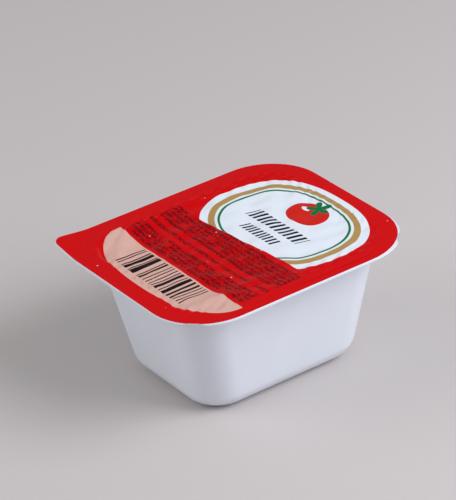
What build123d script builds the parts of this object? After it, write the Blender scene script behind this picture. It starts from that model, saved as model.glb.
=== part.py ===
"""A sealed one-portion ketchup dip tub, in millimetres.

Two pieces: the filled, formed tub with its flat rim, and the printed film sealed over it.
+Z is up and the origin is the middle of the base. +Y is the label end of the lid, and the
peel corner, which is bent up a little, is at -X -Y.
"""

import os
from math import radians, sqrt, tan

from build123d import *

# Rim, seen from above
rim_length = 54.0
rim_width = 46.0
rim_thickness = 0.4
rim_corner_radius = 11.7
peel_corner_radius = 2.6

# Peel corner: the rim is creased this far from its square corner, and bent up
crease_from_corner = 5.8
peel_angle = 10.0  # degrees

# Body under the rim
tub_height = 25.5  # base to the top of the rim
shelf_width = 4.5  # how far the rim stands out from the wall
wall_draft = 9.5  # degrees
base_edge_radius = 4.4
shoulder_radius = 0.7  # where the wall turns out into the rim
foot_width = 1.8  # flat ring that the tub stands on
base_recess_depth = 0.6
base_recess_draft = 30.0  # degrees

# Film lid
film_thickness = 0.12
film_setback = 0.15  # from the rim's edge
seal_width = 3.9  # from the rim's edge to where the film leaves the rim
dish_depth = 1.0  # how far the film sinks at its lowest
dish_low_from_end = 15.0  # from the rim's peel end to where the film is lowest
dish_rise_length = 21.0  # from there to where it is level with the rim again
dish_side_slope = 50.0  # degrees from upright

# Places and fits worked out from the sizes
rim_underside = tub_height - rim_thickness
film_top = tub_height + film_thickness
wall_corner_radius = rim_corner_radius - shelf_width
base_inset = shelf_width + rim_underside * tan(radians(wall_draft))
edge_run = base_edge_radius * tan(radians(90 - wall_draft) / 2)
recess_inset = base_inset + edge_run + foot_width
recess_corner_radius = max(wall_corner_radius - edge_run - foot_width, 0.5)
crease_x = -rim_width / 2 + crease_from_corner / sqrt(2)
crease_y = -rim_length / 2 + crease_from_corner / sqrt(2)
crease_plane = Plane(origin=(crease_x, crease_y, rim_underside), z_dir=(1, 1, 0))
crease_axis = Axis(origin=(crease_x, crease_y, rim_underside), direction=(-1, 1, 0))
dish_low_y = -rim_length / 2 + dish_low_from_end
dish_radius = dish_rise_length**2 / (2 * dish_depth)  # of the shallow arc along Y


def rim_shape(setback: float) -> Sketch:
    """The rim's outline, moved in by setback: three round corners and the peel corner."""
    to_label_corner = Axis((0, 0, 0), (1, 1, 0))
    with BuildSketch() as outline:
        Rectangle(rim_width - 2 * setback, rim_length - 2 * setback)
        fillet(outline.vertices().sort_by(to_label_corner)[1:], rim_corner_radius - setback)
        fillet(outline.vertices().sort_by(to_label_corner)[0], peel_corner_radius - setback)
    return outline.sketch


def bent_plate(setback: float, underside: float, thickness: float) -> Part:
    """A plate of the rim's outline, with its peel corner turned up about the crease."""
    with BuildPart() as flat:
        with BuildSketch(Plane.XY.offset(underside)):
            add(rim_shape(setback))
        extrude(amount=thickness)
    corner = split(flat.part, crease_plane, Keep.BOTTOM, mode=Mode.PRIVATE)
    with BuildPart() as bent:
        add(split(flat.part, crease_plane, Keep.TOP, mode=Mode.PRIVATE))
        add(corner.rotate(crease_axis, peel_angle))
    return bent.part


rim_plate = bent_plate(0, rim_underside, rim_thickness)
film_plate = bent_plate(film_setback, tub_height, film_thickness)

# The space over the sunk film, inside the seal: sloping sides and a floor curved along Y
with BuildPart() as dish:
    with BuildSketch(Plane.XY.offset(film_top)):
        RectangleRounded(
            rim_width - 2 * seal_width,
            rim_length - 2 * seal_width,
            rim_corner_radius - seal_width,
        )
    extrude(amount=-2 * dish_depth, taper=dish_side_slope)
    with Locations((0, dish_low_y, film_top - dish_depth + dish_radius)):
        Cylinder(dish_radius, rim_width, rotation=(0, 90, 0), mode=Mode.INTERSECT)
dish_under_film = dish.part.moved(Location((0, 0, -film_thickness)))

# Tub: walls, base, rim and the contents as one solid
with BuildPart() as tub:
    with BuildSketch(Plane.XY.offset(rim_underside)):
        Rectangle(rim_width - 2 * shelf_width, rim_length - 2 * shelf_width)
    extrude(amount=-rim_underside, taper=wall_draft)
    fillet(tub.edges().group_by(Axis.Z)[1], wall_corner_radius)
    fillet(tub.faces().sort_by(Axis.Z)[0].edges(), base_edge_radius)
    with BuildSketch():
        RectangleRounded(
            rim_width - 2 * recess_inset,
            rim_length - 2 * recess_inset,
            recess_corner_radius,
        )
    extrude(amount=base_recess_depth, taper=base_recess_draft, mode=Mode.SUBTRACT)
    add(rim_plate)
    shelf = tub.faces().filter_by(lambda face: face.inner_wires()).sort_by(Axis.Z)[-1]
    fillet(shelf.inner_wires()[0].edges(), shoulder_radius)
    add(dish_under_film, mode=Mode.SUBTRACT)
tub.part.label = "tub"

# Film: sealed flat on the rim, turned up at the peel corner and sunk into the dish
with BuildPart() as lid_film:
    add(film_plate)
    add(dish_under_film)
    add(dish.part, mode=Mode.SUBTRACT)
    add(tub.part, mode=Mode.SUBTRACT)
lid_film.part.label = "lid_film"

os.makedirs("parts", exist_ok=True)
for piece in (tub, lid_film):
    export_step(piece.part, f"parts/{piece.part.label}.step")
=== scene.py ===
"""A sealed one-portion ketchup dip tub: the formed white tub, its printed film lid and a plain stage."""

import math

import bmesh
import bpy
from mathutils import Matrix, Vector, noise


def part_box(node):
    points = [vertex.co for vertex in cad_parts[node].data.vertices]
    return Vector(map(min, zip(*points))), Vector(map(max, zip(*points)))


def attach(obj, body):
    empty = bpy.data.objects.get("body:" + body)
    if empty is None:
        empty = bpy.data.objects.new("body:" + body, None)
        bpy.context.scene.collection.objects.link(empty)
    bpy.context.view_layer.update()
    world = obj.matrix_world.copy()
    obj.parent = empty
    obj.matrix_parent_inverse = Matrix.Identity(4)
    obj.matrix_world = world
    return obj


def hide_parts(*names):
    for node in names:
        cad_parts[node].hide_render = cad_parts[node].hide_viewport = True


bl_info = {
    "name": "Ketchup Dip Tub",
    "version": (1, 0, 0),
    "blender": (4, 5, 0),
    "location": "3D View > Sidebar > Dip Tub",
    "description": "Makes a sealed ketchup dip tub with a printed film lid",
    "category": "Add Mesh",
}

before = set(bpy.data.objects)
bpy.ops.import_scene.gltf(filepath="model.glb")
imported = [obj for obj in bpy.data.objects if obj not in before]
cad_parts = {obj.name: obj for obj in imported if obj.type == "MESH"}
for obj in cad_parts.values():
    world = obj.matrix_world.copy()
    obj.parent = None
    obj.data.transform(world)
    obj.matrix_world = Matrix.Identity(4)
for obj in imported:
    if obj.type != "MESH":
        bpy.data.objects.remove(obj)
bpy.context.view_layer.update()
MM = 0.001
RIM_LOW, RIM_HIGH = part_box("tub")
# The peel corner is lifted, so the rim's top is read at the other end
RIM_TOP = max(v.co.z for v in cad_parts["tub"].data.vertices if v.co.y > 0)

# How finely the rounds are cut
CORNER_STEPS = 20
PEEL_CORNER_STEPS = 10
WALL_CORNER_STEPS = 16
BASE_EDGE_STEPS = 12
SHOULDER_STEPS = 5
SMALL_ROUND_STEPS = 3

# How near to level a face's normal has to be for the face to count as flat
LEVEL = 0.9

# Rounds and lengths that only this mesh needs
RIM_EDGE_ROUND = 0.09 * MM
RECESS_ROUND = 0.15 * MM
RECESS_LEAN = 0.6
MOUTH_GAP = 0.5 * MM
MOUTH_DROP = 1.8 * MM
MOUTH_SHRINK = (0.91, 0.93, 1)
MANY_SIDES = 40


# ---------------------------------------------------------------- settings


def length(name, description, default):
    """A length setting in metres."""
    return bpy.props.FloatProperty(
        name=name, description=description, default=default, min=0.0, precision=5,
        subtype="DISTANCE", unit="LENGTH",
    )


def angle(name, description, degrees):
    """An angle setting, given in degrees."""
    return bpy.props.FloatProperty(
        name=name, description=description, default=math.radians(degrees), subtype="ANGLE",
        unit="ROTATION",
    )


def colour(name, description, red, green, blue):
    """A colour setting, given as screen values from 0 to 255 and kept as linear ones."""
    linear = [
        c / 12.92 if c <= 0.04045 else ((c + 0.055) / 1.055) ** 2.4
        for c in (red / 255, green / 255, blue / 255)
    ]
    return bpy.props.FloatVectorProperty(
        name=name, description=description, default=(*linear, 1.0), size=4, min=0.0, max=1.0,
        subtype="COLOR",
    )


class DipTubSizes(bpy.types.PropertyGroup):
    """Sizes of the formed tub and of the film over it."""

    rim_width: length("Rim width", "Across the shorter side", RIM_HIGH.x - RIM_LOW.x)
    rim_length: length("Rim length", "Along the longer side", RIM_HIGH.y - RIM_LOW.y)
    rim_thickness: length("Rim thickness", "Thickness of the formed sheet at the rim", 0.4 * MM)
    rim_corner: length("Rim corner radius", "The three round corners", 11.7 * MM)
    peel_corner: length("Peel corner radius", "The small corner that is lifted to peel", 2.6 * MM)
    crease: length("Crease distance", "From the square peel corner to its crease", 5.8 * MM)
    peel_angle: angle("Peel angle", "How far the peel corner is bent up", 10.0)
    shelf: length("Shelf width", "From the rim's edge to the wall", 4.5 * MM)
    draft: angle("Wall draft", "How far the walls lean out", 9.5)
    base_edge: length("Base edge radius", "Rounding between walls and base", 4.4 * MM)
    shoulder: length("Shoulder radius", "Rounding between wall and rim", 0.7 * MM)
    wall_sink: length("Wall sink", "How far each wall is drawn in at its middle", 0.18 * MM)
    foot: length("Foot width", "Flat ring that the tub stands on", 1.8 * MM)
    recess: length("Base recess", "Depth of the recess in the base", 0.6 * MM)
    film: length("Film thickness", "Thickness of the lid film", 0.12 * MM)
    film_setback: length("Film setback", "From the rim's edge to the film's edge", 0.15 * MM)
    film_corner_gain: length("Film corner gain", "Extra radius at the label corner", 0.8 * MM)
    seal: length("Seal width", "Flat band where the film is sealed down", 4.2 * MM)
    mesh_step: length("Film mesh step", "Spacing of the film's mesh", 0.33 * MM)


class DipTubRelief(bpy.types.PropertyGroup):
    """How the film sinks and wrinkles inside its seal."""

    sink: length("Sink", "Depth of the trough at the striped end", 0.95 * MM)
    sink_far: length("Far sink", "Depth at the label end", 0.2 * MM)
    ripple: length("Seal ripple", "Height of the ripples along the seal", 0.13 * MM)
    pucker: length("Pucker", "Height of the folds from the corners", 0.3 * MM)
    wave: length("Wave", "Height of the broad waves", 0.16 * MM)
    bead: length("Seal bead", "Height of the bead near the long edge", 0.1 * MM)


class DipTubColours(bpy.types.PropertyGroup):
    """Colours of the plastic and of the print."""

    plastic: colour("Plastic", "White formed plastic", 226, 230, 240)
    red: colour("Red", "Ground colour of the lid", 205, 0, 6)
    ink: colour("Ink", "Small print over the red", 84, 6, 14)
    strip: colour("Strip", "Pale strip behind the stripes", 216, 172, 160)
    stripe: colour("Stripe", "Black stripes", 18, 14, 18)
    white: colour("Label white", "Ground of the label", 226, 233, 243)
    gold: colour("Gold", "Broad line round the label", 176, 141, 84)
    green: colour("Green", "Thin line round the label", 0, 112, 62)
    navy: colour("Navy", "Bars on the label", 24, 30, 48)
    tomato: colour("Tomato", "The fruit on the label", 205, 32, 24)
    floor: colour("Floor", "Plain floor", 202, 196, 195)


# ---------------------------------------------------------------- mesh helpers


def make_active(piece, *others):
    """Selects a piece and any others, with the piece as the active one."""
    bpy.ops.object.select_all(action="DESELECT")
    for selected in (piece, *others):
        selected.select_set(True)
    bpy.context.view_layer.objects.active = piece


def start_edit(piece):
    """Opens one piece for editing with nothing selected in it."""
    make_active(piece)
    bpy.ops.object.mode_set(mode="EDIT")
    bpy.ops.mesh.select_mode(type="FACE")
    bpy.ops.mesh.select_all(action="DESELECT")


def end_edit():
    """Back to object mode."""
    bpy.ops.object.mode_set(mode="OBJECT")


def pick(piece, mode, test):
    """Selects the vertices, edges or faces that pass a test, and nothing else."""
    bpy.ops.mesh.select_mode(type=mode)
    bpy.ops.mesh.select_all(action="DESELECT")
    shape = bmesh.from_edit_mesh(piece.data)
    found = {"VERT": shape.verts, "EDGE": shape.edges, "FACE": shape.faces}[mode]
    for part in found:
        if test(part):
            part.select_set(True)
    bmesh.update_edit_mesh(piece.data)


def middle(edge):
    """Middle point of an edge."""
    return (edge.verts[0].co + edge.verts[1].co) / 2


def near(a, b, slack=0.02 * MM):
    """True if two lengths agree."""
    return abs(a - b) < slack


def flat_at(edge, height):
    """True if an edge lies level at that height."""
    return near(edge.verts[0].co.z, height) and near(edge.verts[1].co.z, height)


def rounded_plate(name, width, long, height, corner, peel, label_corner):
    """A flat face with three round corners and the small peel corner at -X -Y."""
    bpy.ops.mesh.primitive_plane_add(size=1, location=(0, 0, height))
    piece = bpy.context.object
    piece.name = piece.data.name = name
    piece.scale = (width, long, 1)
    bpy.ops.object.transform_apply(location=True, rotation=True, scale=True)
    start_edit(piece)
    rounds = (
        (lambda v: (v.co.x > 0) != (v.co.y > 0), corner, CORNER_STEPS),
        (lambda v: near(v.co.x, width / 2) and near(v.co.y, long / 2), label_corner, CORNER_STEPS),
        (lambda v: near(v.co.x, -width / 2) and near(v.co.y, -long / 2), peel, PEEL_CORNER_STEPS),
    )
    for test, radius, segments in rounds:
        pick(piece, "VERT", test)
        bpy.ops.mesh.bevel(affect="VERTICES", offset=radius, segments=segments)
    end_edit()
    return piece


def smooth(piece, degrees):
    """Smooth shading, broken at edges sharper than an angle."""
    make_active(piece)
    bpy.ops.object.shade_smooth_by_angle(angle=math.radians(degrees), keep_sharp_edges=False)


def apply_modifier(piece, kind, **settings):
    """Adds a modifier, sets it and applies it."""
    make_active(piece)
    modifier = piece.modifiers.new(kind.title(), kind)
    for key, value in settings.items():
        setattr(modifier, key, value)
    bpy.ops.object.modifier_apply(modifier=modifier.name)


def ease(value, start, end):
    """0 before start, 1 after end, and a smooth step between."""
    share = min(max((value - start) / (end - start), 0.0), 1.0)
    return share * share * (3 - 2 * share)


# ---------------------------------------------------------------- the peel corner


def crease_point(sizes):
    """A point on the crease of the peel corner, in plan."""
    step = sizes.crease / math.sqrt(2)
    return Vector((-sizes.rim_width / 2 + step, -sizes.rim_length / 2 + step, 0))


def bend_peel_corner(piece, sizes):
    """Cuts the piece along the crease and bends what is outside it up, over a short run."""
    outward = Vector((-1, -1, 0)).normalized()
    axis = Vector((-1, 1, 0))
    run = 0.5 * MM
    steps = 3
    on_the_line = 1e-7
    start_edit(piece)
    for count in range(steps):
        bpy.ops.mesh.select_all(action="SELECT")
        cut = crease_point(sizes) + outward * run * (count - 1)
        bpy.ops.mesh.bisect(plane_co=cut, plane_no=outward)
    shape = bmesh.from_edit_mesh(piece.data)
    for count in reversed(range(steps)):
        pivot = crease_point(sizes) + outward * run * (count - 1)
        pivot.z = RIM_TOP
        turn = Matrix.Rotation(sizes.peel_angle / steps, 3, axis)
        for vertex in shape.verts:
            if (vertex.co - pivot).dot(outward) > on_the_line:
                vertex.co = pivot + turn @ (vertex.co - pivot)
    bmesh.update_edit_mesh(piece.data)
    end_edit()


# ---------------------------------------------------------------- the tub


def add_body(sizes):
    """The tapered body under the rim: leaning walls, round corners, round base edge, no top."""
    height = RIM_TOP - sizes.rim_thickness
    width = sizes.rim_width - 2 * sizes.shelf
    long = sizes.rim_length - 2 * sizes.shelf
    drop = 2 * height * math.tan(sizes.draft)
    bpy.ops.mesh.primitive_cube_add(size=1, location=(0, 0, height / 2))
    body = bpy.context.object
    body.name = body.data.name = "formed_tub"
    body.scale = (width, long, height)
    bpy.ops.object.transform_apply(location=True, rotation=True, scale=True)
    start_edit(body)
    pick(body, "FACE", lambda f: f.normal.z < -LEVEL)
    bpy.ops.transform.resize(
        value=((width - drop) / width, (long - drop) / long, 1), center_override=(0, 0, 0)
    )
    corner = sizes.rim_corner - sizes.shelf
    pick(body, "EDGE", lambda e: abs(e.verts[0].co.z - e.verts[1].co.z) > height / 2)
    bpy.ops.mesh.bevel(offset=corner, segments=WALL_CORNER_STEPS)
    pick(body, "FACE", lambda f: f.normal.z > LEVEL)
    bpy.ops.mesh.delete(type="FACE")
    pick(body, "EDGE", lambda e: flat_at(e, 0))
    run = sizes.base_edge * math.tan((math.pi / 2 - sizes.draft) / 2)
    bpy.ops.mesh.bevel(offset=run, segments=BASE_EDGE_STEPS)
    end_edit()
    return body


def cut_walls(body, sizes):
    """Cuts the walls by level and upright planes, so that they can be drawn in."""
    low, high = sizes.base_edge, RIM_TOP - sizes.rim_thickness
    height_shares = (0.1, 0.3, 0.5, 0.7, 0.9)
    spacing = 3 * MM
    cuts = [((0, 0, low + share * (high - low)), (0, 0, 1)) for share in height_shares]
    cuts += [((step * spacing, 0, 0), (1, 0, 0)) for step in range(-2, 3)]
    cuts += [((0, step * spacing, 0), (0, 1, 0)) for step in range(-3, 4)]
    start_edit(body)
    for place, normal in cuts:
        pick(body, "FACE", lambda f: f.normal.z > -LEVEL)
        bpy.ops.mesh.bisect(plane_co=place, plane_no=normal)
    end_edit()


def add_foot(body, sizes):
    """The flat ring that the tub stands on, and the shallow recess inside it."""
    start_edit(body)
    pick(body, "FACE", lambda f: f.normal.z < -LEVEL and near(f.calc_center_median().z, 0))
    steps = ((sizes.foot, 0.0), (sizes.recess * RECESS_LEAN, sizes.recess))
    half_x, half_y = base_half(sizes)
    for inward, rise in steps:
        bpy.ops.mesh.extrude_region_move(TRANSFORM_OT_translate={"value": (0, 0, rise)})
        shrink = ((half_x - inward) / half_x, (half_y - inward) / half_y, 1)
        bpy.ops.transform.resize(value=shrink, center_override=(0, 0, 0))
        half_x, half_y = half_x - inward, half_y - inward
    pick(body, "EDGE", lambda e: is_recess_edge(e, sizes))
    bpy.ops.mesh.bevel(offset=RECESS_ROUND, segments=SMALL_ROUND_STEPS)
    end_edit()


def base_half(sizes):
    """Half width and half length of the flat base, inside its rounded edge."""
    drop = (RIM_TOP - sizes.rim_thickness) * math.tan(sizes.draft)
    inward = sizes.shelf + drop + sizes.base_edge * math.tan((math.pi / 2 - sizes.draft) / 2)
    return sizes.rim_width / 2 - inward, sizes.rim_length / 2 - inward


def is_recess_edge(edge, sizes):
    """True on the upper and lower outline of the base recess."""
    if len(edge.link_faces) != 2:
        return False
    spot = middle(edge)
    half_x, half_y = base_half(sizes)
    margin = 1 * MM
    bend = 0.3
    inside = abs(spot.x) < half_x - margin and abs(spot.y) < half_y - margin
    low = spot.z < sizes.recess + margin / 20
    return inside and low and edge.calc_face_angle(0) > bend


def add_rim(body, sizes):
    """The flat rim: its outline and a ring of its top, bridged to the body below."""
    underside = RIM_TOP - sizes.rim_thickness
    plate = rounded_plate(
        "rim_plate", sizes.rim_width, sizes.rim_length, underside, sizes.rim_corner,
        sizes.peel_corner, sizes.rim_corner,
    )
    start_edit(plate)
    bpy.ops.mesh.select_all(action="SELECT")
    lift = (0, 0, sizes.rim_thickness)
    bpy.ops.mesh.extrude_region_move(TRANSFORM_OT_translate={"value": lift})
    bpy.ops.mesh.select_all(action="SELECT")
    bpy.ops.mesh.normals_make_consistent(inside=False)
    pick(plate, "FACE", lambda f: f.normal.z < -LEVEL)
    bpy.ops.mesh.delete(type="ONLY_FACE")
    pick(plate, "FACE", lambda f: f.normal.z > LEVEL)
    ring_share = 0.9
    bpy.ops.mesh.inset(thickness=sizes.peel_corner * ring_share)
    bpy.ops.mesh.delete(type="ONLY_FACE")
    end_edit()
    make_active(body, plate)
    bpy.ops.object.join()
    start_edit(body)
    pick(body, "EDGE", lambda e: e.is_boundary and flat_at(e, underside))
    bpy.ops.mesh.bridge_edge_loops()
    pick(body, "EDGE", lambda e: is_shoulder_edge(e, sizes))
    bpy.ops.mesh.bevel(offset=sizes.shoulder, segments=SHOULDER_STEPS)
    end_edit()


def is_shoulder_edge(edge, sizes):
    """True where the wall meets the underside of the rim."""
    spot = middle(edge)
    inside = (
        abs(spot.x) < sizes.rim_width / 2 - sizes.shelf / 2
        and abs(spot.y) < sizes.rim_length / 2 - sizes.shelf / 2
    )
    level = flat_at(edge, RIM_TOP - sizes.rim_thickness)
    bend = 0.5
    return inside and level and len(edge.link_faces) == 2 and edge.calc_face_angle(0) > bend


def add_mouth(body, sizes):
    """The top of the rim, running in to a shallow mouth that the film hides."""
    inward = sizes.seal - MOUTH_GAP
    corner = sizes.rim_corner - inward
    mouth = rounded_plate(
        "mouth", sizes.rim_width - 2 * inward, sizes.rim_length - 2 * inward, RIM_TOP,
        corner, corner, corner,
    )
    make_active(body, mouth)
    bpy.ops.object.join()
    start_edit(body)
    pick(body, "FACE", is_mouth_plate)
    bpy.ops.mesh.extrude_region_move(TRANSFORM_OT_translate={"value": (0, 0, -MOUTH_DROP)})
    bpy.ops.transform.resize(value=MOUTH_SHRINK, center_override=(0, 0, 0))
    pick(body, "FACE", is_mouth_plate)
    bpy.ops.mesh.delete(type="ONLY_FACE")
    pick(body, "EDGE", lambda e: e.is_boundary and flat_at(e, RIM_TOP))
    bpy.ops.mesh.bridge_edge_loops()
    pick(body, "EDGE", lambda e: is_rim_edge(e, sizes))
    bpy.ops.mesh.bevel(offset=RIM_EDGE_ROUND, segments=SMALL_ROUND_STEPS)
    close_seams(body)
    end_edit()


def is_mouth_plate(face):
    """True for the many-sided flat face at the level of the rim's top."""
    level = abs(face.normal.z) > LEVEL and near(face.calc_center_median().z, RIM_TOP)
    return level and len(face.verts) > MANY_SIDES


def close_seams(body):
    """Merges points that lie on each other, more widely on the rim's top, and turns faces outward."""
    close, close_on_top = 0.002 * MM, 0.04 * MM
    bpy.ops.mesh.select_all(action="SELECT")
    bpy.ops.mesh.remove_doubles(threshold=close)
    pick(body, "VERT", lambda v: near(v.co.z, RIM_TOP, close))
    bpy.ops.mesh.remove_doubles(threshold=close_on_top)
    bpy.ops.mesh.select_all(action="SELECT")
    bpy.ops.mesh.normals_make_consistent(inside=False)


def is_rim_edge(edge, sizes):
    """True on the upper and lower outline of the rim's cut edge."""
    square_bend = 1.2
    if len(edge.link_faces) != 2 or edge.calc_face_angle(0) < square_bend:
        return False
    level = flat_at(edge, RIM_TOP) or flat_at(edge, RIM_TOP - sizes.rim_thickness)
    spot = middle(edge)
    margin = sizes.shelf * 0.8
    corner_margin = sizes.shelf * 2
    outer = (
        abs(spot.x) > sizes.rim_width / 2 - margin
        or abs(spot.y) > sizes.rim_length / 2 - margin
        or abs(spot.x) + abs(spot.y) > (sizes.rim_width + sizes.rim_length) / 2 - corner_margin
    )
    return level and outer


def draw_in_walls(body, sizes):
    """Draws each wall in a little towards its middle, as formed plastic cools."""
    low, high = sizes.base_edge, RIM_TOP - sizes.rim_thickness - sizes.shoulder
    on_wall, corner_clear, fade = 1 * MM, 6 * MM, 1.9
    start_edit(body)
    shape = bmesh.from_edit_mesh(body.data)
    for vertex in shape.verts:
        x, y, z = vertex.co
        if not low < z < high:
            continue
        rise = math.sin(math.pi * (z - low) / (high - low))
        lean = (high - z) * math.tan(sizes.draft)
        half_x = sizes.rim_width / 2 - sizes.shelf - lean
        half_y = sizes.rim_length / 2 - sizes.shelf - lean
        sink = sizes.wall_sink * rise
        if abs(x) > half_x - on_wall and abs(y) < half_y - corner_clear:
            vertex.co.x -= math.copysign(sink * math.cos(y / half_y * fade) ** 2, x)
        if abs(y) > half_y - on_wall and abs(x) < half_x - corner_clear:
            vertex.co.y -= math.copysign(sink * math.cos(x / half_x * fade) ** 2, y)
    bmesh.update_edit_mesh(body.data)
    end_edit()


# ---------------------------------------------------------------- the film


def inside_seal(x, y, sizes):
    """Distance in from the inner outline of the seal; negative on the flat band."""
    radius = sizes.rim_corner - sizes.seal
    past_x = abs(x) - (sizes.rim_width / 2 - sizes.seal - radius)
    past_y = abs(y) - (sizes.rim_length / 2 - sizes.seal - radius)
    outside = math.hypot(max(past_x, 0), max(past_y, 0)) + min(max(past_x, past_y), 0)
    return radius - outside


SEAL_BLEND = 0.4 * MM

# Folds in the film, in millimetres: middle x and y, turn in radians, half width, half length
FOLDS = (
    (11.0, -18.0, 0.55, 1.3, 5.0),
    (-13.5, -17.5, -0.75, 1.2, 4.5),
    (15.0, -13.0, 0.3, 1.0, 4.0),
    (-9.5, -8.0, -0.5, 1.3, 5.0),
    (9.0, -9.5, 1.0, 1.6, 5.0),
)


def film_height(x, y, sizes, relief):
    """How far the film lies above its flat place at a point; u and v are millimetres."""
    inside = inside_seal(x, y, sizes)
    u, v = x / MM, y / MM
    bead = seal_bead(u, v) * relief.bead
    if inside <= -SEAL_BLEND:
        return bead
    band = ease(inside, -SEAL_BLEND, 0.6 * MM)
    height = trough(u, v, inside, relief) + ripples(u, v, inside, relief) * band
    height += waves(u, v, inside, relief) + folds(u, v) * relief.pucker * band + bead
    return height if inside > 0 else max(height, 0.0)


def trough(u, v, inside, relief):
    """The sunken middle: deep and steep at the striped end, shallow under the label."""
    striped_end = 1 - ease(v, -13.0, 8.0)
    depth = relief.sink_far + (relief.sink - relief.sink_far) * striped_end
    steep = ease(inside, 0.0, (1.1 + 2.2 * ease(v, -19.0, -12.0)) * MM)
    across = 0.25 + 0.75 * ease(u, -18.0, -12.0) * (1 - ease(u, 10.5, 14.5))
    return -depth * steep * (across * striped_end + (1 - striped_end))


def ripples(u, v, inside, relief):
    """Short ripples that die away from the seal."""
    patch, reach = 1.5, 2.2 * MM
    rough = noise.noise(Vector((u / patch, v / patch, 3.0)))
    crest = math.sin(2.6 * u + 1.7 * v + 2.5 * rough) + 1.2 * rough
    return relief.ripple * crest * math.exp(-max(inside, 0) / reach)


def waves(u, v, inside, relief):
    """Broad soft waves over the middle."""
    swell = noise.noise(Vector((u / 6.0 + 0.2 * v, v / 9.0, 7.0)))
    crest = swell * 1.6 + 0.35 * math.sin(1.25 * u - 0.5 * v + 3.0 * swell)
    return relief.wave * crest * ease(inside, 0.0, 4.0 * MM)


def folds(u, v):
    """Folds that run in from the corners of the striped end; 1 at their crest."""
    total = 0.0
    for fold_u, fold_v, turn, width, reach in FOLDS:
        along = (u - fold_u) * math.sin(turn) + (v - fold_v) * math.cos(turn)
        aside = (u - fold_u) * math.cos(turn) - (v - fold_v) * math.sin(turn)
        total += math.exp(-((aside / width) ** 2) - (along / reach) ** 2)
    return total


def seal_bead(u, v):
    """Two low beads left by the sealing tool beside the long edge; 1 at the higher crest."""
    share = ease(v, -3.0, 2.0) * (1 - ease(v, 15.0, 19.0))
    crest = 20.9 - 1.2 * ease(v, 13.0, 19.0)
    outer_bead = math.exp(-(((u - crest) / 0.22) ** 2))
    inner_bead = 0.5 * math.exp(-(((u - crest + 0.8) / 0.2) ** 2))
    return share * (outer_bead + inner_bead)


def add_film_sheet(sizes, relief):
    """The lid film: a rounded sheet cut into a fine grid, sunk and wrinkled, set one film thickness
    above the rim's top.
    """
    inset = 2 * sizes.film_setback
    corner = sizes.rim_corner - sizes.film_setback
    film = rounded_plate(
        "printed_film", sizes.rim_width - inset, sizes.rim_length - inset, RIM_TOP + sizes.film,
        corner, sizes.peel_corner - sizes.film_setback, corner + sizes.film_corner_gain,
    )
    off_centre = 0.37
    start_edit(film)
    for axis, half in ((0, sizes.rim_width / 2), (1, sizes.rim_length / 2)):
        count = int(half / sizes.mesh_step)
        for index in range(-count, count + 1):
            place, direction = [0.0, 0.0, 0.0], [0.0, 0.0, 0.0]
            place[axis] = (index + off_centre) * sizes.mesh_step
            direction[axis] = 1.0
            bpy.ops.mesh.select_all(action="SELECT")
            bpy.ops.mesh.bisect(plane_co=place, plane_no=direction)
    shape = bmesh.from_edit_mesh(film.data)
    for vertex in shape.verts:
        vertex.co.z += film_height(vertex.co.x, vertex.co.y, sizes, relief)
    bmesh.update_edit_mesh(film.data)
    end_edit()
    bend_peel_corner(film, sizes)
    return film


# ---------------------------------------------------------------- material helpers


class Number:
    """A number at each point of a surface, worked out by Math nodes."""

    def __init__(self, tree, socket):
        self.tree = tree
        self.socket = socket

    def math(self, operation, *others, clamp=False):
        node = self.tree.nodes.new("ShaderNodeMath")
        node.operation = operation
        node.use_clamp = clamp
        for place, value in enumerate((self, *others)):
            if isinstance(value, Number):
                self.tree.links.new(value.socket, node.inputs[place])
            else:
                node.inputs[place].default_value = value
        return Number(self.tree, node.outputs[0])

    def __add__(self, other):
        return self.math("ADD", other)

    def __sub__(self, other):
        return self.math("SUBTRACT", other)

    def __mul__(self, other):
        return self.math("MULTIPLY", other)

    def __truediv__(self, other):
        return self.math("DIVIDE", other)

    def __pow__(self, other):
        return self.math("POWER", other)

    def __abs__(self):
        return self.math("ABSOLUTE")

    def above(self, edge, blur=0.06):
        """1 where the number is above edge, 0 below it, with a narrow soft step."""
        return ((self - edge) * (1 / blur)).math("ADD", 0.5, clamp=True)

    def below(self, edge, blur=0.06):
        """1 where the number is below edge."""
        return self.above(edge, blur).math("MULTIPLY_ADD", -1.0, 1.0)

    def within(self, low, high, blur=0.06):
        """1 between low and high."""
        return self.above(low, blur) * self.below(high, blur)

    def floor(self):
        return self.math("FLOOR")

    def fraction(self):
        return self.math("FRACT")

    def larger(self, other):
        return self.math("MAXIMUM", other)


def new_material(name):
    """A node material, its tree and its main shader."""
    material = bpy.data.materials.new(name)
    material.use_nodes = True
    tree = material.node_tree
    return material, tree, tree.nodes["Principled BSDF"]


def plan_position(tree):
    """The place on the piece in plan, in millimetres: x and y."""
    coordinates = tree.nodes.new("ShaderNodeTexCoord")
    split = tree.nodes.new("ShaderNodeSeparateXYZ")
    tree.links.new(coordinates.outputs["Object"], split.inputs[0])
    return [Number(tree, split.outputs[axis]) / MM for axis in range(2)]


def cell_noise(tree, x, y):
    """One random number from 0 to 1 for each whole-number cell."""
    join = tree.nodes.new("ShaderNodeCombineXYZ")
    tree.links.new(x.floor().socket, join.inputs[0])
    tree.links.new(y.floor().socket, join.inputs[1])
    node = tree.nodes.new("ShaderNodeTexWhiteNoise")
    node.noise_dimensions = "2D"
    tree.links.new(join.outputs[0], node.inputs["Vector"])
    return Number(tree, node.outputs["Value"])


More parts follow.
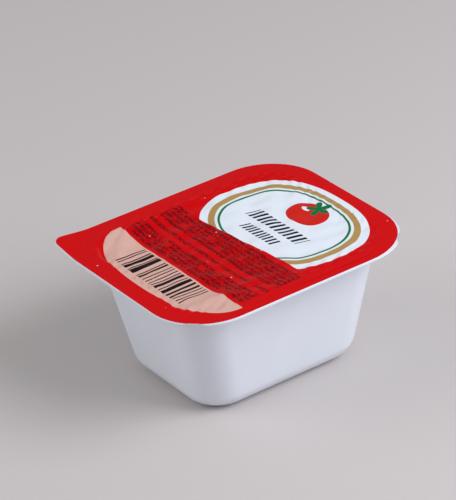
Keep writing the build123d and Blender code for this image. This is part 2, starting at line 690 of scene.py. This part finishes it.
def soft_noise(tree, scale, detail=3.0, offset=0.0):
    """Cloudy noise from 0 to 1; scale counts features for each millimetre."""
    coordinates = tree.nodes.new("ShaderNodeTexCoord")
    mapping = tree.nodes.new("ShaderNodeMapping")
    mapping.inputs["Scale"].default_value = (1 / MM, 1 / MM, 1 / MM)
    mapping.inputs["Location"].default_value = (offset, 0.0, 0.0)
    node = tree.nodes.new("ShaderNodeTexNoise")
    node.inputs["Scale"].default_value = scale
    node.inputs["Detail"].default_value = detail
    tree.links.new(coordinates.outputs["Object"], mapping.inputs["Vector"])
    tree.links.new(mapping.outputs["Vector"], node.inputs["Vector"])
    return Number(tree, node.outputs["Fac"])


def paint(tree, under, over, mask):
    """Lays a colour over another where the mask is 1."""
    mix = tree.nodes.new("ShaderNodeMix")
    mix.data_type = "RGBA"
    tree.links.new(mask.socket, mix.inputs["Factor"])
    for value, name in ((under, "A"), (over, "B")):
        socket = [s for s in mix.inputs if s.name == name and s.type == "RGBA"][0]
        if isinstance(value, bpy.types.NodeSocket):
            tree.links.new(value, socket)
        else:
            socket.default_value = tuple(value)
    return [s for s in mix.outputs if s.type == "RGBA"][0]


def add_bump(tree, shader, height, distance, strength):
    """Fine relief that is finer than the mesh."""
    bump = tree.nodes.new("ShaderNodeBump")
    bump.inputs["Distance"].default_value = distance
    bump.inputs["Strength"].default_value = strength
    tree.links.new(height.socket, bump.inputs["Height"])
    tree.links.new(bump.outputs[0], shader.inputs["Normal"])


# ---------------------------------------------------------------- the print


# The print's measures are in millimetres. Stripes: middle and width
STRIPES = (
    (-10.3, 0.3), (-9.6, 0.3), (-8.3, 0.35), (-7.4, 0.9), (-6.2, 0.3), (-5.2, 1.3), (-3.4, 0.3),
    (-2.6, 0.6), (-1.2, 0.3), (-0.3, 0.3), (0.7, 0.3), (1.6, 0.3), (2.6, 0.9), (3.9, 0.3),
    (5.0, 1.0), (6.4, 0.6), (7.6, 0.6), (8.6, 0.3), (9.6, 0.3), (10.4, 0.3),
)
STRIPE_ENDS = (-20.6, -13.9)
STRIP_TOP = -13.5

ROW_PITCH = 1.06
CELL_WIDTH = 0.26
WORD_WIDTH = 1.9
EMPTY_ROWS = (-6, -8)
SMALL_PRINT_MIDDLE = 0.4
SMALL_PRINT_HALF = 18.9
SMALL_PRINT_ENDS = (-12.9, 1.0)

LABEL_MIDDLE = (0.6, 10.6)
LABEL_HALF = (17.4, 13.6)
GOLD_LINE = (0.82, 0.9)
GREEN_LINE = (0.755, 0.785)


def stripe_mask(x, y):
    """Upright black stripes of uneven widths in a block on the pale strip."""
    total = None
    for centre, width in STRIPES:
        one = abs(x - centre).below(width / 2, 0.08)
        total = one if total is None else total + one
    return total * y.within(*STRIPE_ENDS)


def small_print_mask(tree, x, y):
    """Rows of unreadable small print: dark cells in groups, with some rows left out."""
    row = y / ROW_PITCH
    in_row = row.fraction().within(0.1, 0.92, 0.15)
    cells = cell_noise(tree, x / CELL_WIDTH, y / (ROW_PITCH / 3)).above(0.27, 0.2)
    words = cell_noise(tree, x / WORD_WIDTH + 31.0, row).above(0.05, 0.1)
    mask = in_row * cells * words
    for empty in EMPTY_ROWS:
        mask = mask * abs(row.floor() - empty).above(0.5, 0.1)
    block = abs(x - SMALL_PRINT_MIDDLE).below(SMALL_PRINT_HALF) * y.within(*SMALL_PRINT_ENDS)
    return mask * block


def oval(x, y, centre_x, centre_y, half_x, half_y, power=2.0):
    """1 on the outline of an oval, less inside and more outside."""
    a = (abs(x - centre_x) / half_x) ** power
    b = (abs(y - centre_y) / half_y) ** power
    return (a + b) ** (1.0 / power)


def label_masks(x, y):
    """The oval label: its ground and its gold and green lines, cut off by the red field below."""
    line_blur = 0.006
    rise = (x * 0.09).math("SINE") * 1.3 + 1.1
    above_field = (y - rise).above(0.0, 0.08)
    ring = oval(x, y, *LABEL_MIDDLE, *LABEL_HALF, 2.5)
    ground = ring.below(1.0, line_blur) * above_field
    gold = ring.within(*GOLD_LINE, line_blur) * above_field
    green = ring.within(*GREEN_LINE, line_blur) * above_field
    return ground, gold, green, above_field


def label_motifs(x, y):
    """A tomato with its green crown, and two rows of slanting bars under it."""
    fruit = oval(x, y, 0.6, 16.2, 4.6, 3.7, 2.2).below(1.0, 0.02)
    shine = oval(x, y, -1.3, 17.2, 1.0, 0.6).below(1.0, 0.2)
    slant = x - y * 0.3
    upper = bar_row(slant, y, (7.6, 10.6), -2.1, 8.0, 1.35, (0.18, 0.72))
    lower = bar_row(slant, y, (3.9, 6.1), -0.9, 5.0, 1.05, (0.2, 0.72))
    return fruit, shine, crown_mask(x - 0.6, y - 19.0), upper.larger(lower)


def crown_mask(x, y):
    """The star of green leaves on the tomato, about its own middle."""
    turn = y.math("ARCTAN2", x)
    reach = (x * x + y * y) ** 0.5
    star = (turn * 2.5).math("COSINE")
    return reach.math("SUBTRACT", abs(star) * 2.0).below(0.55, 0.1)


def bar_row(slant, y, ends, middle_x, half, pitch, filled):
    """One row of slanting bars between two heights; filled is the dark share of each pitch."""
    block = y.within(*ends) * abs(slant - middle_x).below(half)
    return block * (slant / pitch).fraction().within(*filled, 0.08)


def strip_mask(x, y):
    """The pale strip: round below, level above."""
    bowl = oval(x, y, 0.8, -13.6, 19.9, 9.6, 2.3).below(1.0, 0.006)
    return bowl * y.below(STRIP_TOP)


def specks_mask(tree):
    """A few fine light specks of dust."""
    specks_per_metre, radius, rarity = 520.0, 0.075, 0.86
    coordinates = tree.nodes.new("ShaderNodeTexCoord")
    node = tree.nodes.new("ShaderNodeTexVoronoi")
    node.inputs["Scale"].default_value = specks_per_metre
    tree.links.new(coordinates.outputs["Object"], node.inputs["Vector"])
    spot = Number(tree, node.outputs["Distance"]).below(radius, 0.05)
    split = tree.nodes.new("ShaderNodeSeparateColor")
    tree.links.new(node.outputs["Color"], split.inputs[0])
    return spot * Number(tree, split.outputs[0]).above(rarity, 0.02)


def film_material(colours):
    """Satin printed film: red ground, label, small print, pale strip and stripes."""
    material, tree, shader = new_material("printed_film")
    x, y = plan_position(tree)
    ground, gold, green, above_field = label_masks(x, y)
    fruit, shine, crown, bars = label_motifs(x, y)
    on_field = above_field.math("MULTIPLY_ADD", -1.0, 1.0)
    strength = 0.8
    layers = (
        (colours.white, ground),
        (colours.gold, gold),
        (colours.green, green),
        (colours.tomato, fruit),
        (colours.white, shine),
        (colours.green, crown),
        (colours.navy, bars),
        (colours.ink, small_print_mask(tree, x, y) * strength * on_field),
        (colours.strip, strip_mask(x, y)),
        (colours.stripe, stripe_mask(x, y)),
        (colours.white, specks_mask(tree) * strength),
    )
    painted = tuple(colours.red)
    for over, mask in layers:
        painted = paint(tree, painted, over, mask)
    tree.links.new(painted, shader.inputs["Base Color"])
    haze = soft_noise(tree, 0.35, 4.0)
    tree.links.new((haze * 0.22 + 0.27).socket, shader.inputs["Roughness"])
    shader.inputs["Specular IOR Level"].default_value = 0.07
    shader.inputs["Specular Tint"].default_value = (1.0, 0.35, 0.35, 1.0)
    add_bump(tree, shader, soft_noise(tree, 2.2, 5.0, 9.0), 0.03 * MM, 0.35)
    return material


def film_edge_material(colours):
    """The film's cut edge and underside: plain pale plastic."""
    material, tree, shader = new_material("film_edge")
    tone = soft_noise(tree, 1.5)
    tree.links.new(paint(tree, colours.white, colours.plastic, tone), shader.inputs["Base Color"])
    shader.inputs["Roughness"].default_value = 0.5
    return material


def plastic_material(colours):
    """Satin white formed plastic with a faint cloudiness and a fine skin."""
    material, tree, shader = new_material("tub_plastic")
    cloud = soft_noise(tree, 0.12, 4.0)
    shade = tuple(c * 0.93 for c in colours.plastic[:3]) + (1.0,)
    tree.links.new(paint(tree, colours.plastic, shade, cloud), shader.inputs["Base Color"])
    tree.links.new((soft_noise(tree, 0.5, 3.0, 4.0) * 0.16 + 0.36).socket, shader.inputs["Roughness"])
    shader.inputs["Specular IOR Level"].default_value = 0.45
    add_bump(tree, shader, soft_noise(tree, 1.6, 4.0, 2.0), 0.02 * MM, 0.2)
    return material


# ---------------------------------------------------------------- operators


class DIPTUB_OT_add_tub(bpy.types.Operator):
    """Adds the formed white tub with its rim, foot and lifted peel corner"""

    bl_idname = "dip_tub.add_tub"
    bl_label = "Add Formed Tub"

    def execute(self, context):
        sizes = context.scene.dip_tub_sizes
        body = add_body(sizes)
        cut_walls(body, sizes)
        add_foot(body, sizes)
        add_rim(body, sizes)
        add_mouth(body, sizes)
        draw_in_walls(body, sizes)
        bend_peel_corner(body, sizes)
        smooth(body, 40)
        apply_modifier(body, "WEIGHTED_NORMAL", keep_sharp=True)
        body.data.materials.clear()
        body.data.materials.append(plastic_material(context.scene.dip_tub_colours))
        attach(body, "root")
        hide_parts("tub")
        return {"FINISHED"}


class DIPTUB_OT_add_film(bpy.types.Operator):
    """Adds the printed film, sunk and wrinkled inside its seal"""

    bl_idname = "dip_tub.add_film"
    bl_label = "Add Printed Film"

    def execute(self, context):
        sizes = context.scene.dip_tub_sizes
        film = add_film_sheet(sizes, context.scene.dip_tub_relief)
        film.data.materials.append(film_material(context.scene.dip_tub_colours))
        film.data.materials.append(film_edge_material(context.scene.dip_tub_colours))
        apply_modifier(
            film, "SOLIDIFY", thickness=sizes.film, offset=-1.0, material_offset=1,
            material_offset_rim=1,
        )
        smooth(film, 50)
        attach(film, "root")
        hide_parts("lid_film")
        return {"FINISHED"}


class DIPTUB_OT_set_stage(bpy.types.Operator):
    """Adds the plain floor, the lamps and the camera"""

    bl_idname = "dip_tub.set_stage"
    bl_label = "Set Stage"

    def execute(self, context):
        add_floor(context.scene.dip_tub_colours)
        set_world(context.scene)
        for lamp in LAMPS:
            add_lamp(*lamp)
        add_camera(context.scene)
        context.scene.view_settings.view_transform = "Standard"
        return {"FINISHED"}


# Name, azimuth and elevation in degrees, distance and size in metres, power in watts, colour
LAMPS = (
    ("key_lamp", 128.0, 38.0, 0.5, 0.34, 2.15, (0.94, 0.96, 1.0)),
    ("fill_lamp", -32.0, 30.0, 0.6, 0.40, 1.1, (1.0, 0.99, 0.95)),
)
VIEW_AZIMUTH = math.radians(56.68)
VIEW_ELEVATION = math.radians(29.72)
VIEW_ROLL = math.radians(-4.5)
VIEW_DISTANCE = 0.5574
VIEW_ASIDE = 0.0016
VIEW_UP = 0.00172
VIEW_LENS = 213.98


def direction(azimuth, elevation):
    """Unit vector from the object towards a lamp or the camera."""
    level = math.cos(elevation)
    return Vector((math.sin(azimuth) * level, -math.cos(azimuth) * level, math.sin(elevation)))


def add_floor(colours):
    """A plain pale floor, larger than the view."""
    bpy.ops.mesh.primitive_plane_add(size=6.0, location=(0, 0, 0))
    floor = bpy.context.object
    floor.name = "floor"
    material, _, shader = new_material("plain_floor")
    shader.inputs["Base Color"].default_value = tuple(colours.floor)
    shader.inputs["Roughness"].default_value = 0.8
    shader.inputs["Specular IOR Level"].default_value = 0.2
    floor.data.materials.append(material)


def set_world(scene):
    """Even soft light from all round."""
    world = bpy.data.worlds.new("soft_world")
    scene.world = world
    world.use_nodes = True
    shade = world.node_tree.nodes["Background"]
    shade.inputs["Color"].default_value = (0.95, 0.97, 1.0, 1.0)
    shade.inputs["Strength"].default_value = 0.42


def add_lamp(name, azimuth, elevation, distance, size, power, tint):
    """A soft square lamp that faces the tub."""
    towards = direction(math.radians(azimuth), math.radians(elevation))
    bpy.ops.object.light_add(type="AREA", location=towards * distance)
    lamp = bpy.context.object
    lamp.name = name
    lamp.data.energy = power
    lamp.data.size = size
    lamp.data.color = tint
    lamp.rotation_mode = "QUATERNION"
    lamp.rotation_quaternion = towards.to_track_quat("Z", "Y")


def add_camera(scene):
    """The camera, a little above the lid, rolled slightly."""
    back = direction(VIEW_AZIMUTH, VIEW_ELEVATION)
    level = Vector((math.cos(VIEW_AZIMUTH), math.sin(VIEW_AZIMUTH), 0))
    upright = back.cross(level)
    right = math.cos(VIEW_ROLL) * level + math.sin(VIEW_ROLL) * upright
    up = -math.sin(VIEW_ROLL) * level + math.cos(VIEW_ROLL) * upright
    data = bpy.data.cameras.new("view")
    camera = bpy.data.objects.new("view", data)
    scene.collection.objects.link(camera)
    data.lens = VIEW_LENS
    data.sensor_width = 36.0
    camera.matrix_world = Matrix((right, up, back)).transposed().to_4x4()
    camera.location = Vector((0, 0, RIM_TOP)) + back * VIEW_DISTANCE
    camera.location -= right * VIEW_ASIDE + up * VIEW_UP
    scene.camera = camera


class DIPTUB_PT_panel(bpy.types.Panel):
    """Lists the pieces and their settings"""

    bl_label = "Dip Tub"
    bl_idname = "DIPTUB_PT_panel"
    bl_space_type = "VIEW_3D"
    bl_region_type = "UI"
    bl_category = "Dip Tub"

    def draw(self, context):
        layout = self.layout
        for operator in OPERATORS:
            layout.operator(operator.bl_idname)
        for group in ("dip_tub_sizes", "dip_tub_relief", "dip_tub_colours"):
            settings = getattr(context.scene, group)
            box = layout.box()
            for name in settings.bl_rna.properties.keys():
                if name not in ("rna_type", "name"):
                    box.prop(settings, name)


OPERATORS = (DIPTUB_OT_add_tub, DIPTUB_OT_add_film, DIPTUB_OT_set_stage)
GROUPS = (DipTubSizes, DipTubRelief, DipTubColours)


def register():
    """Registers the settings, the operators and the panel."""
    for kind in (*GROUPS, *OPERATORS, DIPTUB_PT_panel):
        bpy.utils.register_class(kind)
    scene = bpy.types.Scene
    scene.dip_tub_sizes = bpy.props.PointerProperty(type=DipTubSizes)
    scene.dip_tub_relief = bpy.props.PointerProperty(type=DipTubRelief)
    scene.dip_tub_colours = bpy.props.PointerProperty(type=DipTubColours)


def unregister():
    """Removes what register added."""
    for name in ("dip_tub_sizes", "dip_tub_relief", "dip_tub_colours"):
        delattr(bpy.types.Scene, name)
    for kind in reversed((*GROUPS, *OPERATORS, DIPTUB_PT_panel)):
        bpy.utils.unregister_class(kind)


def main():
    """Registers everything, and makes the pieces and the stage."""
    register()
    bpy.ops.dip_tub.add_tub()
    bpy.ops.dip_tub.add_film()
    bpy.ops.dip_tub.set_stage()


if __name__ == "__main__":
    main()
